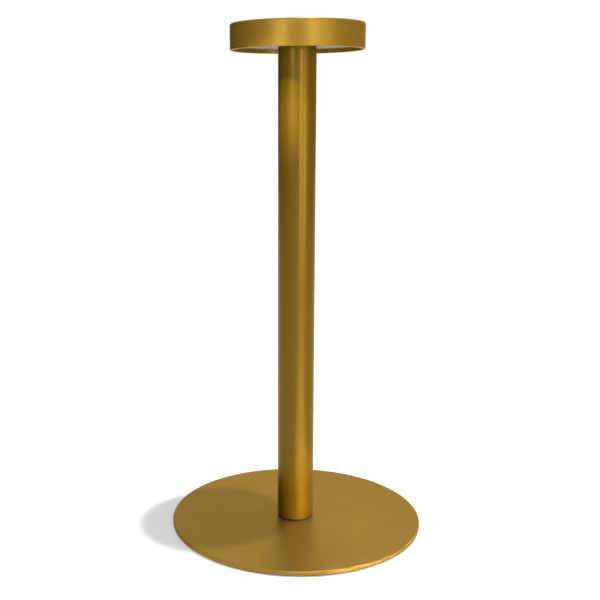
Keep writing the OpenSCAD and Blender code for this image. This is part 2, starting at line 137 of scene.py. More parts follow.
class LampColours(bpy.types.PropertyGroup):
    """Colours of the finishes that show"""

    lacquer: tint(
        "Gold lacquer", "Colour of the metallic lacquer on the base", (0.32, 0.196, 0.038))
    # Painted shade: the head and its button carry a slightly darker, deeper copy of the base's gold
    # lacquer, set for how light falls on the head
    head_lacquer: tint(
        "Head lacquer", "Colour of the lacquer on the head and its button", (0.305, 0.183, 0.022))
    # Painted shade: the stem carries a much darker, deeper copy of the base's gold lacquer, which
    # stands in for the shade on the stem
    stem_lacquer: tint(
        "Stem lacquer", "Colour of the deeper lacquer on the stem", (0.175, 0.097, 0.0035))
    silicone: tint(
        "Port cover", "Colour of the soft cover over the charging port", (0.31, 0.18, 0.025))
    # Painted shade: the white opal ring is given a dark warm grey, which stands in for the shade
    # under the head, warmed as a painted reflection of the gold round it
    opal: tint("Diffuser", "Colour of the opal ring", (0.27, 0.215, 0.19))
    rubber: tint("Rubber", "Colour of the pad and the gasket", (0.024, 0.01, 0.008))
    floor: tint("Floor", "Colour of the floor", (0.8, 0.8, 0.8))


class LampStudio(bpy.types.PropertyGroup):
    """Camera and light"""

    distance: length("Distance", "From the stem's axis to the camera, level", 558.94)
    height: length("Height", "Height of the camera above the floor", 252.65)
    pitch: angle("Pitch", "How far the camera looks down", 0.19838)
    yaw: angle("Yaw", "How far the camera looks to its right", -0.06037)
    roll: angle("Roll", "How far the camera leans", -0.00728)
    lens: FloatProperty(
        name="Lens", description="Focal length on a 36 mm frame", default=56.913, min=10)
    shift: FloatProperty(name="Shift", description="Sideways shift of the frame", default=0.1)
    ambient: share("Ambient", "Level of the light from all round", 0.3)
    overhead: power("Overhead lamp", "Power of the lamp above", 30)
    strip: power("Strip lamp", "Power of the upright lamp at the front right", 1.7)
    fill: power("Fill lamp", "Power of the gridded lamp on the head, from the left", 7.5)
    side: power("Side lamp", "Power of the lamp at the right", 2)
    crown: power("Crown lamp", "Power of the gridded lamp on the head, from the right", 0.32)
    window: power("Window lamp", "Power of the gridded lamp on the upper stem", 0.0074)
    foot: power("Foot lamp", "Power of the low gridded lamp on the stem's foot", 0.031)
    bounce: power("Bounce card", "Power of the card on the floor at the front right", 0.36)
    floor_lift: share("Floor lift", "White added to the floor where it is looked at", 0.42)
    far_lift: share("Far floor lift", "White added to the floor far from the lamp", 0.9)


# Shader building


def put(tree, kind, inputs=None, **settings):
    """A node with its settings, its input values and the sockets linked to it."""
    made = tree.nodes.new(kind)
    for key, value in settings.items():
        setattr(made, key, value)
    for key, value in (inputs or {}).items():
        if isinstance(value, bpy.types.NodeSocket):
            tree.links.new(value, made.inputs[key])
        else:
            made.inputs[key].default_value = value
    return made


def new_finish(name):
    """A material with its shader, and the Object coordinates that its patterns read."""
    finish = bpy.data.materials.new(name)
    finish.use_nodes = True
    tree = finish.node_tree
    shader = tree.nodes["Principled BSDF"]
    coords = put(tree, "ShaderNodeTexCoord").outputs["Object"]
    return finish, tree, shader, coords


def levels(shader, values):
    for key, value in values.items():
        shader.inputs[key].default_value = value


def scaled(colour, factor):
    return (*(min(1.0, c * factor) for c in colour), 1.0)


def noise(tree, coords, scale, detail=2.0):
    return put(tree, "ShaderNodeTexNoise", {
        "Vector": coords, "Scale": scale, "Detail": detail}).outputs["Fac"]


def stretched(tree, coords, scale):
    return put(tree, "ShaderNodeMapping", {"Vector": coords, "Scale": scale}).outputs["Vector"]


def ranged(tree, value, low, high, near=0.25, far=0.75):
    return put(tree, "ShaderNodeMapRange", {
        "Value": value, "From Min": near, "From Max": far,
        "To Min": low, "To Max": high}).outputs["Result"]


def two_tone(tree, factor, dark, light):
    made = put(tree, "ShaderNodeMix", {"Factor": factor}, data_type="RGBA")
    made.inputs["A"].default_value = dark
    made.inputs["B"].default_value = light
    return made.outputs["Result"]


def toned(tree, shader, factor, colour, dark, light):
    """Base colour between a darker and a lighter tone of one colour."""
    tone = two_tone(tree, factor, scaled(colour, dark), scaled(colour, light))
    tree.links.new(tone, shader.inputs["Base Color"])


def uneven(tree, shader, value, low, high):
    """Roughness that wanders between two levels."""
    tree.links.new(ranged(tree, value, low, high), shader.inputs["Roughness"])


def bumped(tree, shader, height, strength, distance):
    bump = put(tree, "ShaderNodeBump", {
        "Height": height, "Strength": strength, "Distance": distance})
    tree.links.new(bump.outputs["Normal"], shader.inputs["Normal"])


def lacquer(name, colour, roughness, drawn=1.0, coat=0.0):
    """Metallic lacquer: fine flakes, a slow drift of tone and a faint orange peel, with a clear
    coat where coat is above 0. A drawn value below 1 stretches the drift along the stem."""
    finish, tree, shader, coords = new_finish(name)
    flakes = put(tree, "ShaderNodeTexVoronoi", {"Vector": coords, "Scale": 2600.0}).outputs["Color"]
    flake = put(tree, "ShaderNodeSeparateColor", {"Color": flakes}).outputs["Red"]
    drift = noise(tree, stretched(tree, coords, (1.0, 1.0, drawn)), scale=34.0, detail=3.0)
    tone = put(tree, "ShaderNodeMath", {
        0: ranged(tree, drift, low=0.0, high=0.62),
        1: ranged(tree, flake, low=0.0, high=0.38, near=0, far=1)},
        operation="ADD").outputs["Value"]
    toned(tree, shader, tone, colour, dark=0.88, light=1.12)
    uneven(tree, shader, noise(tree, coords, scale=420.0),
           low=roughness - 0.03, high=roughness + 0.05)
    levels(shader, {
        "Metallic": 0.72, "Specular IOR Level": 0.06, "Specular Tint": (1.0, 0.82, 0.5, 1.0),
        "Coat Weight": coat, "Coat Roughness": 0.22})
    bumped(tree, shader, noise(tree, coords, scale=900.0), strength=0.12, distance=0.00004)
    return finish


def moulded(name, colour, roughness, grain, depth, spread=0.12, gloss=0.5):
    """Plain moulded or plated stuff: a speckle of tone, uneven gloss and a fine grain."""
    finish, tree, shader, coords = new_finish(name)
    patches = grain / 9
    speckle = noise(tree, coords, grain, detail=4.0)
    toned(tree, shader, ranged(tree, speckle, low=0.0, high=1.0, near=0.3, far=0.7), colour,
          dark=1 - spread, light=1 + spread)
    uneven(tree, shader, noise(tree, coords, patches),
           low=roughness - 0.05, high=roughness + 0.07)
    levels(shader, {"Specular IOR Level": gloss})
    bumped(tree, shader, speckle, strength=0.35, distance=depth)
    return finish


def brushed(name, colour, roughness, stretch):
    """Bare metal with fine lines along one axis, which stretch makes long."""
    finish, tree, shader, coords = new_finish(name)
    line = noise(tree, stretched(tree, coords, stretch), scale=2400.0, detail=3.0)
    toned(tree, shader, line, colour, dark=0.85, light=1.1)
    uneven(tree, shader, line, low=roughness - 0.06, high=roughness + 0.08)
    levels(shader, {"Metallic": 1.0})
    bumped(tree, shader, line, strength=0.2, distance=0.00002)
    return finish


def turned_metal(name, colour, roughness):
    """Bare metal with the rings that a lathe leaves round the Z axis."""
    finish, tree, shader, coords = new_finish(name)
    rings = put(tree, "ShaderNodeTexWave", {
        "Vector": coords, "Scale": 900.0, "Distortion": 1.5, "Detail": 2.0},
        wave_type="RINGS", rings_direction="Z").outputs["Fac"]
    toned(tree, shader, rings, colour, dark=0.9, light=1.06)
    uneven(tree, shader, noise(tree, coords, scale=300.0),
           low=roughness - 0.05, high=roughness + 0.06)
    levels(shader, {"Metallic": 1.0})
    bumped(tree, shader, rings, strength=0.15, distance=0.00002)
    return finish


def foamed(name, colour):
    """Closed cell foam: small round cells with thin pale walls."""
    finish, tree, shader, coords = new_finish(name)
    cells = put(tree, "ShaderNodeTexVoronoi", {
        "Vector": coords, "Scale": 1600.0}).outputs["Distance"]
    toned(tree, shader, cells, colour, dark=0.6, light=1.5)
    levels(shader, {"Roughness": 0.92})
    bumped(tree, shader, cells, strength=0.6, distance=0.0002)
    return finish


def tracked(name, mask, track, pitch):
    """Circuit board: square runs of track that show through the solder mask."""
    finish, tree, shader, coords = new_finish(name)
    runs = put(tree, "ShaderNodeTexBrick", {
        "Vector": coords, "Color1": (*mask, 1.0), "Color2": scaled(mask, 0.9),
        "Mortar": (*track, 1.0), "Scale": pitch, "Mortar Size": 0.02, "Bias": 0.0,
        "Brick Width": 0.7, "Row Height": 0.3})
    tree.links.new(runs.outputs["Color"], shader.inputs["Base Color"])
    uneven(tree, shader, noise(tree, coords, scale=500.0), low=0.32, high=0.44)
    bumped(tree, shader, runs.outputs["Fac"], strength=0.3, distance=0.00003)
    return finish


def opal(name, colour):
    """Frosted opal acrylic: light goes a little way in, and the face has a fine frost."""
    finish, tree, shader, coords = new_finish(name)
    frost = noise(tree, coords, scale=2200.0, detail=3.0)
    toned(tree, shader, frost, colour, dark=0.96, light=1.03)
    uneven(tree, shader, noise(tree, coords, scale=120.0), low=0.42, high=0.55)
    levels(shader, {
        "Specular IOR Level": 0.2, "Subsurface Weight": 0.3,
        "Subsurface Radius": (0.002, 0.0018, 0.0016)})
    bumped(tree, shader, frost, strength=0.2, distance=0.00003)
    return finish


# Mesh building


def turned(bm, turn, axis):
    bmesh.ops.rotate(
        bm, cent=(0, 0, 0), matrix=Matrix.Rotation(turn, 3, axis), verts=bm.verts[:])


def moved(bm, offset):
    bmesh.ops.translate(bm, vec=offset, verts=bm.verts[:])


def cut_across(bm, place):
    """Cuts the faces of a bmesh along the plane across X at that place."""
    bmesh.ops.bisect_plane(bm, geom=bm.verts[:] + bm.edges[:] + bm.faces[:], dist=WELD,
                           plane_co=(place, 0, 0), plane_no=(1, 0, 0))


def rounded(bm, edges, rounding, segments, clamp=False):
    bmesh.ops.bevel(bm, geom=edges, offset=rounding, offset_type="OFFSET", affect="EDGES",
                    segments=segments, profile=0.5, material=-1, clamp_overlap=clamp)


def spun(outline, steps, closed=False, opening=0.0):
    """A bmesh made by turning an outline of (radius, height) points round the Z axis.
    An opening angle leaves a gap at the back, with its two ends closed."""
    bm = bmesh.new()
    verts = [bm.verts.new((r, 0.0, z)) for r, z in outline]
    edges = [bm.edges.new(pair) for pair in zip(verts, verts[1:])]
    if closed:
        edges.append(bm.edges.new((verts[-1], verts[0])))
    bmesh.ops.spin(bm, geom=verts + edges, cent=(0, 0, 0), axis=(0, 0, 1),
                   angle=math.tau - opening, steps=steps, use_merge=not opening)
    bmesh.ops.remove_doubles(bm, verts=bm.verts[:], dist=WELD)
    if opening:
        bmesh.ops.holes_fill(bm, edges=[e for e in bm.edges if e.is_boundary], sides=0)
        turned(bm, (math.pi + opening) / 2, "Z")
    bmesh.ops.recalc_face_normals(bm, faces=bm.faces[:])
    return bm


def disc(low, high, steps):
    """A plain disc that fills the box between two corners."""
    edge = high.x
    return spun([(0, low.z), (edge, low.z), (edge, high.z), (0, high.z)], steps)


def slab(width, thick, height, corner, soft):
    """A slab that faces +Y, with round corners and soft edges."""
    bm = bmesh.new()
    bmesh.ops.create_cube(bm, size=1.0)
    bmesh.ops.scale(bm, vec=(width, thick, height), verts=bm.verts[:])
    through = [e for e in bm.edges if abs(e.verts[0].co.y - e.verts[1].co.y) > thick / 2]
    rounded(bm, through, corner, segments=6)
    rim = [e for e in bm.edges if abs(e.verts[0].co.y - e.verts[1].co.y) < thick / 2]
    rounded(bm, rim, soft, segments=3)
    return bm


def wrapped(bm, radius, pitch):
    """Cuts a slab into strips and lays its outer face on a drum of that radius round the Z axis."""
    lowest, highest = min(v.co.x for v in bm.verts), max(v.co.x for v in bm.verts)
    for cut in range(1, int((highest - lowest) / pitch)):
        cut_across(bm, lowest + cut * pitch)
    outer = max(v.co.y for v in bm.verts)
    for v in bm.verts:
        v.co.y = math.sqrt((radius + v.co.y - outer) ** 2 - v.co.x ** 2)


def joined(first, second):
    """Adds the second bmesh's shells to the first."""
    passing = bpy.data.meshes.new("passing")
    second.to_mesh(passing)
    second.free()
    first.from_mesh(passing)
    bpy.data.meshes.remove(passing)


def bulged(edge, low, high, bulge, points=9):
    """The outline of a soft side that swells to the edge radius half way up."""
    middle, half = (low + high) / 2, (high - low) / 2
    turns = [math.pi * (i / (points - 1) - 0.5) for i in range(points)]
    return [(edge - bulge * (1 - math.cos(t)), middle + half * math.sin(t)) for t in turns]


def round_rings(bm, corners, segments=4):
    """Rounds the rings of edges at the given (radius, height, rounding) corners."""
    for radius, height, rounding in corners:
        ring = [e for e in bm.edges if all(
            abs(math.hypot(v.co.x, v.co.y) - radius) < NEAR and abs(v.co.z - height) < NEAR
            for v in e.verts)]
        if not ring:
            raise RuntimeError(f"no ring of edges at radius {radius} and height {height}")
        rounded(bm, ring, rounding, segments, clamp=True)


def piece_of(bm, name, body, finish, slot, *nodes):
    """The finished piece: smooth faces, its material, the body that it rides on and the nodes
    that it stands for."""
    mesh = bpy.data.meshes.new(name)
    for face in bm.faces:
        face.smooth = True
    bm.to_mesh(mesh)
    bm.free()
    piece = bpy.data.objects.new(name, mesh)
    bpy.context.scene.collection.objects.link(piece)
    mesh.materials.append(finish)
    if body:
        shade = piece.modifiers.new("flat faces stay flat", "WEIGHTED_NORMAL")
        shade.weight = 80
        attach(piece, body)
    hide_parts(*nodes)
    return piece


def dress(finish, *nodes):
    """Gives CAD nodes a finish."""
    for name in nodes:
        slots = frame["nodes"][name].data.materials
        slots.clear()
        slots.append(finish)


# Operators


class LAMP_OT_base_plate(bpy.types.Operator):
    """Turns the thin round base plate"""

    bl_idname = "lamp.base_plate"
    bl_label = "Base plate"

    def execute(self, context):
        sizes, colours = context.scene.lamp_sizes, context.scene.lamp_colours
        low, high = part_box("base_plate")
        bm = disc(low, high, sizes.steps)
        round_rings(bm, [(high.x, high.z, sizes.plate_round),
                         (high.x, low.z, sizes.plate_round_low)])
        finish = lacquer("plate_lacquer", colours.lacquer, roughness=0.38)
        piece_of(bm, "plate", "lamp", finish, "gold_lacquer", "base_plate")
        return {"FINISHED"}


class LAMP_OT_base_pad(bpy.types.Operator):
    """Moulds the anti-slip pad with grip grooves in its underside"""

    bl_idname = "lamp.base_pad"
    bl_label = "Base pad"

    # Radius of each groove, as a share of the pad's
    GROOVES = (0.94, 0.88, 0.82, 0.3)

    def execute(self, context):
        sizes, colours = context.scene.lamp_sizes, context.scene.lamp_colours
        low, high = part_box("base_pad")
        edge, groove, depth = high.x, sizes.pad_groove, sizes.pad_groove_depth
        ease = high.z / 4
        outline = [(0, high.z), (edge, high.z), (edge, low.z)]
        for part in self.GROOVES:
            middle = edge * part
            outline += [(middle + groove / 2, low.z), (middle + groove / 4, low.z + depth),
                        (middle - groove / 4, low.z + depth), (middle - groove / 2, low.z)]
        bm = spun(outline + [(0, low.z)], sizes.steps)
        round_rings(bm, [(edge, low.z, ease)])
        finish = moulded("pad_rubber", colours.rubber, roughness=0.72, grain=1500.0,
                         depth=0.0001, spread=0.4, gloss=0.25)
        piece_of(bm, "grip_pad", "lamp", finish, "pad_rubber", "base_pad")
        return {"FINISHED"}


class LAMP_OT_stem(bpy.types.Operator):
    """Turns the stem tube and the dark gasket under it"""

    bl_idname = "lamp.stem"
    bl_label = "Stem and gasket"

    def execute(self, context):
        sizes, colours = context.scene.lamp_sizes, context.scene.lamp_colours
        low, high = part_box("stem_tube")
        edge, cut = high.x, sizes.tube_chamfer
        bore, ease = edge - sizes.tube_wall, cut / 4
        bm = spun([(bore, low.z), (edge - cut, low.z), (edge, low.z + cut), (edge, high.z),
                   (bore, high.z)], sizes.steps, closed=True)
        round_rings(bm, [(edge, low.z + cut, ease), (edge - cut, low.z, ease)], segments=3)
        # The stem's lacquer colour is a darkened copy of the base's: painted shade
        finish = lacquer("stem_lacquer", colours.stem_lacquer, roughness=0.34, drawn=0.04, coat=0.2)
        piece_of(bm, "tube", "lamp", finish, "gold_lacquer", "stem_tube")
        low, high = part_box("foot_gasket")
        bm = disc(low, high, sizes.steps)
        squeeze = (high.z - low.z) / 3
        round_rings(bm, [(high.x, low.z, squeeze), (high.x, high.z, squeeze)])
        finish = moulded("gasket_rubber", colours.rubber, roughness=0.6, grain=1900.0,
                         depth=0.00005, spread=0.3, gloss=0.15)
        piece_of(bm, "gasket", "lamp", finish, "gasket_rubber", "foot_gasket")
        return {"FINISHED"}


class LAMP_OT_head(bpy.types.Operator):
    """Finishes the drum head"""

    bl_idname = "lamp.head"
    bl_label = "Head"

    def execute(self, context):
        colours = context.scene.lamp_colours
        # The head's lacquer colour is a slightly darker copy of the base's: painted shade
        dress(lacquer("head_lacquer", colours.head_lacquer, roughness=0.38, coat=0.12),
              "head_shell")
        # The diffuser's darkened, warmed colour is painted shade with a painted gold reflection
        dress(opal("opal_ring", colours.opal), "diffuser")
        return {"FINISHED"}


class LAMP_OT_button(bpy.types.Operator):
    """Turns the push button with a shallow dish in its top"""

    bl_idname = "lamp.button"
    bl_label = "Push button"

    PIP_HEIGHT = 0.1 * MM
    EDGE_ROUND, DISH_ROUND, FLANGE_ROUND = 0.3 * MM, 0.4 * MM, 0.1 * MM
    # The dish's radius as a share of the button's, and its points as shares of that
    DISH_SHARE = 0.84
    DISH_POINTS = (0.8, 0.6, 0.4, 0.2, 0.0)

    def execute(self, context):
        sizes, colours = context.scene.lamp_sizes, context.scene.lamp_colours
        low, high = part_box("power_button")
        flange, nub, top = high.x, sizes.button_nub, high.z
        edge, seat = flange - sizes.button_lip, top - sizes.button_drop
        under, rim = seat - sizes.button_flange, edge * self.DISH_SHARE
        hollow = sizes.button_dish
        dish = [(rim * part, top - hollow * (1 - part * part)) for part in self.DISH_POINTS]
        pip, clear = sizes.button_pip, low.z + self.PIP_HEIGHT
        bm = spun([(0, low.z), (pip, low.z), (pip, clear), (nub, clear), (nub, under),
                   (flange, under), (flange, seat), (edge, seat), (edge, top), (rim, top), *dish],
                  sizes.steps)
        round_rings(bm, [(edge, top, self.EDGE_ROUND), (rim, top, self.DISH_ROUND),
                         (flange, seat, self.FLANGE_ROUND)])
        # The button shares the head's darkened lacquer colour: painted shade
        finish = lacquer("button_lacquer", colours.head_lacquer, roughness=0.34)
        piece_of(bm, "button_cap", "button", finish, "gold_lacquer", "power_button")
        return {"FINISHED"}


class LAMP_OT_port_cover(bpy.types.Operator):
    """Moulds the soft cover of the charging port, its strap and the anchor"""

    bl_idname = "lamp.port_cover"
    bl_label = "Port cover"

    def execute(self, context):
        sizes, colours = context.scene.lamp_sizes, context.scene.lamp_colours
        finish = moulded("cover_silicone", colours.silicone, roughness=0.62, grain=1700.0,
                         depth=0.00004, spread=0.08, gloss=0.25)
        low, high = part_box("port_cover")
        drum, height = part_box("head_shell")[1].x, high.z - low.z
        level = (low.z + high.z) / 2
        self.cover(sizes, finish, drum, level, low.x, high.x, height)
        self.anchor(sizes, finish, drum, level, height)
        self.strap(sizes, finish, drum, level)
        return {"FINISHED"}

    @staticmethod
    def cover(sizes, finish, drum, level, left, right, height):
        """The cover with a groove for a nail near its free end and the lug behind it."""
        thick, groove = sizes.cover_thick, sizes.nail_groove
        bm = slab(right - left, thick, height, sizes.cover_corner, soft=0.4 * thick)
        moved(bm, ((left + right) / 2, 0, 0))
        reach = right - 2 * groove
        for side in (reach - groove / 2, reach + groove / 2):
            cut_across(bm, side)
        facing, aside = 0.9, 0.1 * MM
        floor = [f for f in bm.faces
                 if f.normal.y > facing and abs(f.calc_center_median().x - reach) < aside]
        if not floor:
            raise RuntimeError("the cover has no face for its nail groove")
        bmesh.ops.inset_region(bm, faces=floor, thickness=0.25 * groove, depth=-0.35 * thick,
                               use_even_offset=True, use_boundary=True)
        wrapped(bm, drum, STRIP_PITCH)
        sunk = 0.5 * thick
        lug = slab(sizes.lug_width, thick=1.2 * thick, height=sizes.lug_height,
                   corner=0.49 * sizes.lug_height, soft=0.3 * thick)
        wrapped(lug, drum - sunk, STRIP_PITCH)
        joined(bm, lug)
        moved(bm, (0, 0, level))
        piece_of(bm, "cover_flap", "cover", finish, "gold_silicone", "port_cover")

    @staticmethod
    def anchor(sizes, finish, drum, level, height):
        """The pad at the strap's fixed end, with a barbed pin through the head's wall."""
        thick, width = sizes.cover_thick, sizes.anchor_width
        bm = slab(width, thick, height, sizes.cover_corner, soft=0.3 * thick)
        wrapped(bm, drum, STRIP_PITCH)
        play, barb, pin_steps = 0.1 * MM, 0.8 * MM, 32
        shank, wide, slope, tip = 0.75 * MM, 1.3 * MM, 1.2 * MM, 0.6 * MM
        through = sizes.head_wall + play - thick / 2
        pin = spun([(0, 0), (shank, 0), (shank, through), (wide, through),
                    (slope, through + barb / 3), (tip, through + barb), (0, through + barb)],
                   pin_steps)
        turned(pin, math.pi / 2, "X")
        moved(pin, (0, drum - thick / 2, 0))
        joined(bm, pin)
        turned(bm, math.asin((sizes.cover_width / 2 + sizes.strap_gap + width / 2) / drum), "Z")
        moved(bm, (0, 0, level))
        piece_of(bm, "strap_anchor", "lamp", finish, "gold_silicone", "cover_anchor")

    @staticmethod
    def strap(sizes, finish, drum, level):
        """The thin strap across the cover's joint, from inside the anchor to just inside the cover,
        curved to follow the head's round side.
        """
        joints = frame["record"]["behaviour"]["joints"]
        axis = next(j for j in joints if j["name"] == "cover_swing")["pos_m"]
        in_anchor, in_cover = 0.9 * MM, 0.5 * MM
        left, right = axis[0] - sizes.strap_gap - in_anchor, axis[0] + in_cover
        bm = slab(right - left, sizes.strap_thick, sizes.strap_width,
                  corner=0.1 * MM, soft=0.2 * sizes.strap_thick)
        moved(bm, ((left + right) / 2, 0, 0))
        wrapped(bm, drum - (sizes.cover_thick - sizes.strap_thick) / 2, STRAP_PITCH)
        moved(bm, (0, 0, level))
        strap = piece_of(bm, "cover_strap", None, finish, "gold_silicone")
        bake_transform(strap)


class LAMP_OT_cushions(bpy.types.Operator):
    """Cuts the two foam cushions that hold the cell in the stem"""

    bl_idname = "lamp.cushions"
    bl_label = "Foam cushions"

    # Swell of the foam's sides and of its bore, and the drop from its crown to its shoulders
    SWELL, BORE_SWELL, CROWN = 0.5 * MM, 0.4 * MM, 0.3 * MM

    def execute(self, context):
        sizes = context.scene.lamp_sizes
        steps = sizes.steps // 2
        finish = foamed("cushion_foam", (0.018, 0.02, 0.023))
        low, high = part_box("lower_cushion")
        side = bulged(high.x, low.z, high.z, self.SWELL)
        bm = spun([(0, low.z), *side, (0, high.z)], steps)
        piece_of(bm, "lower_foam", "lamp", finish, "foam", "lower_cushion")
        low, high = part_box("upper_cushion")
        bore, shoulder = sizes.foam_bore, high.z - self.CROWN
        side = bulged(high.x, low.z, shoulder, self.SWELL)
        inside = [(2 * bore - r, z) for r, z in reversed(
            bulged(bore, low.z, shoulder, self.BORE_SWELL))]
        bm = spun([*side, ((bore + high.x) / 2, high.z), *inside], steps, closed=True,
                  opening=2 * math.asin(sizes.foam_slot / 2 / bore))
        piece_of(bm, "upper_foam", "lamp", finish, "foam", "upper_cushion")
        return {"FINISHED"}


class LAMP_OT_works(bpy.types.Operator):
    """Finishes the screws, boards, cell and sockets inside"""

    bl_idname = "lamp.works"
    bl_label = "Inner works"

    def execute(self, context):
        dress(brushed("zinc_screws", (0.45, 0.46, 0.48), roughness=0.34, stretch=(1.0, 1.0, 0.2)),
              "foot_screws", "stem_screws", "shell_screws", "led_screws", "board_screws")
        dress(turned_metal("turned_aluminium", (0.62, 0.62, 0.63), roughness=0.36),
              "foot_plug", "top_plug", "carrier_plate")
        dress(moulded("cell_sleeve", (0.02, 0.075, 0.21), roughness=0.3, grain=260.0,
                      depth=0.00003, spread=0.1), "battery_cell")
        dress(brushed("nickel", (0.56, 0.53, 0.47), roughness=0.3, stretch=(1.0, 1.0, 0.05)),
              "cell_strip")
        dress(moulded("red_insulation", (0.33, 0.012, 0.01), roughness=0.5, grain=900.0,
                      depth=0.00003), "red_lead")
        dress(moulded("black_insulation", (0.012, 0.012, 0.012), roughness=0.5, grain=900.0,
                      depth=0.00003), "black_lead")
        dress(tracked("led_board_mask", mask=(0.74, 0.74, 0.71), track=(0.62, 0.6, 0.54),
                      pitch=160.0), "led_board")
        dress(tracked("control_board_mask", mask=(0.01, 0.09, 0.03), track=(0.03, 0.17, 0.05),
                      pitch=240.0), "control_board")
        dress(moulded("phosphor_gel", (0.7, 0.48, 0.07), roughness=0.28, grain=2400.0,
                      depth=0.00002), "leds")
        dress(brushed("pin_brass", (0.53, 0.33, 0.08), roughness=0.28, stretch=(1.0, 1.0, 0.1)),
              "led_pins")
        dress(moulded("natural_nylon", (0.68, 0.65, 0.54), roughness=0.5, grain=1200.0,
                      depth=0.00003, spread=0.06), "board_spacers", "battery_connector")
        dress(moulded("black_housing", (0.014, 0.014, 0.015), roughness=0.48, grain=1800.0,
                      depth=0.00003, spread=0.2),
              "board_chips", "usb_tongue", "tact_switch", "switch_plunger")
        dress(brushed("socket_tin", (0.4, 0.4, 0.41), roughness=0.3, stretch=(0.1, 1.0, 1.0)),
              "usb_socket")
        return {"FINISHED"}


class LAMP_OT_stage(bpy.types.Operator):
    """Sets the floor, the lamps, the dim walls and the camera"""

    bl_idname = "lamp.stage"
    bl_label = "Stage"

    FLOOR_REACH = 8.0
    # Distances between which the floor's lift grows
    LIFT_NEAR, LIFT_FAR = 0.3, 3.0
    # Depths between which the walls darken
    WALL_NEAR, WALL_FAR = -0.6, 1.5
    SENSOR_MM = 36.0

    def execute(self, context):
        scene, studio = context.scene, context.scene.lamp_studio
        scene.view_settings.view_transform = "Standard"
        self.world(scene, studio)
        self.floor(scene, studio)
        self.lamps(scene, studio)
        self.walls(scene)
        self.camera(scene, studio)
        return {"FINISHED"}

    @staticmethod
    def looked_at(tree):
        """1 for the rays that see the background: from the camera, in gloss and through glass."""
        path = put(tree, "ShaderNodeLightPath").outputs
        seen = put(tree, "ShaderNodeMath", {0: path["Is Camera Ray"], 1: path["Is Glossy Ray"]},
                   operation="MAXIMUM").outputs["Value"]
        return put(tree, "ShaderNodeMath", {0: seen, 1: path["Is Transmission Ray"]},
                   operation="MAXIMUM").outputs["Value"]

    @staticmethod
    def stage_mesh(scene, name, bm):
        """An object of the stage, made from a bmesh."""
        mesh = bpy.data.meshes.new(name)
        bm.to_mesh(mesh)
        bm.free()
        made = bpy.data.objects.new(name, mesh)
        scene.collection.objects.link(made)
        return made

    def world(self, scene, studio):
        scene.world = bpy.data.worlds.new("studio")
        scene.world.use_nodes = True
        tree = scene.world.node_tree
        around = tree.nodes["Background"]
        levels(around, {"Color": WHITE, "Strength": studio.ambient})
        white = put(tree, "ShaderNodeBackground", {"Color": WHITE, "Strength": 1.0})
        mixed = put(tree, "ShaderNodeMixShader", {
            0: self.looked_at(tree), 1: around.outputs["Background"],
            2: white.outputs["Background"]})
        tree.links.new(mixed.outputs["Shader"], tree.nodes["World Output"].inputs["Surface"])

    def floor(self, scene, studio):
        """A pale floor, lifted to white where it is looked at and see-through from below."""
        bm = bmesh.new()
        bmesh.ops.create_grid(bm, x_segments=1, y_segments=1, size=self.FLOOR_REACH)
        floor = self.stage_mesh(scene, "floor", bm)
        finish, tree, shader, coords = new_finish("floor_paper")
        toned(tree, shader, noise(tree, coords, scale=700.0), scene.lamp_colours.floor,
              dark=0.99, light=1.01)
        levels(shader, {"Roughness": 0.9, "Specular IOR Level": 0.0, "Emission Color": WHITE})
        apart = put(tree, "ShaderNodeVectorMath", {0: coords}, operation="LENGTH").outputs["Value"]
        level = ranged(tree, apart, low=studio.floor_lift, high=studio.far_lift,
                       near=self.LIFT_NEAR, far=self.LIFT_FAR)
        lift = put(tree, "ShaderNodeMath", {0: self.looked_at(tree), 1: level},
                   operation="MULTIPLY")
        tree.links.new(lift.outputs["Value"], shader.inputs["Emission Strength"])
        below = put(tree, "ShaderNodeMixShader", {
            0: put(tree, "ShaderNodeNewGeometry").outputs["Backfacing"],
            1: shader.outputs["BSDF"],
            2: put(tree, "ShaderNodeBsdfTransparent").outputs["BSDF"]})
        tree.links.new(below.outputs["Shader"], tree.nodes["Material Output"].inputs["Surface"])
        floor.data.materials.append(finish)

    def lamps(self, scene, studio):
        """Soft boxes, each aimed at a height on the lamp's axis. A spread below 180 is a grid on
        the box, which keeps its light to the part that it is meant for. The boxes that light the
        head's side stand below its top, so that they leave no glare there."""
        day, pale = (1.0, 0.97, 0.9), (1.0, 0.98, 0.94)
        warm, amber = (1.0, 0.96, 0.88), (1.0, 0.84, 0.4)
        bare = 180
        # Name, place, height of the aim, size, spread in degrees, power and colour
        rows = (
            ("overhead_lamp", (0.3, 0.03, 2.0), 0.15, (0.05, 0.05), bare, studio.overhead, day),
            ("strip_lamp", (0.6, -1.3, 0.158), 0.15, (0.1, 0.27), bare, studio.strip, pale),
            ("fill_lamp", (-0.64, -1.29, 0.268), 1.087, (0.5, 0.05), 60, studio.fill, warm),
            ("crown_lamp", (0.6, -1.3, 0.268), 0.638, (0.1, 0.05), 30, studio.crown, warm),
            ("side_lamp", (1.08, -0.95, 0.16), 0.15, (0.3, 0.26), bare, studio.side, warm),
            ("window_lamp", (-0.147, -0.302, 0.46), 0.241, (0.01, 0.01), 7.4, studio.window, day),
            ("foot_lamp", (0.52, -0.608, 0.016), 0.01, (0.06, 0.02), 6.3, studio.foot, amber),
        )
        for name, place, height, size, spread, watts, colour in rows:
            box = self.soft_box(scene, name, size, watts, colour)
            box.data.spread = math.radians(spread)
            box.location = place
            ahead = Vector((0, 0, height)) - box.location
            box.rotation_euler = ahead.to_track_quat("-Z", "Y").to_euler()
        card = self.soft_box(scene, "bounce_card", (0.16, 0.3), studio.bounce, (1.0, 0.86, 0.6))
        card.rotation_euler = (math.pi, 0.0, math.radians(33))
        card.location = (0.133, -0.205, 0.003)

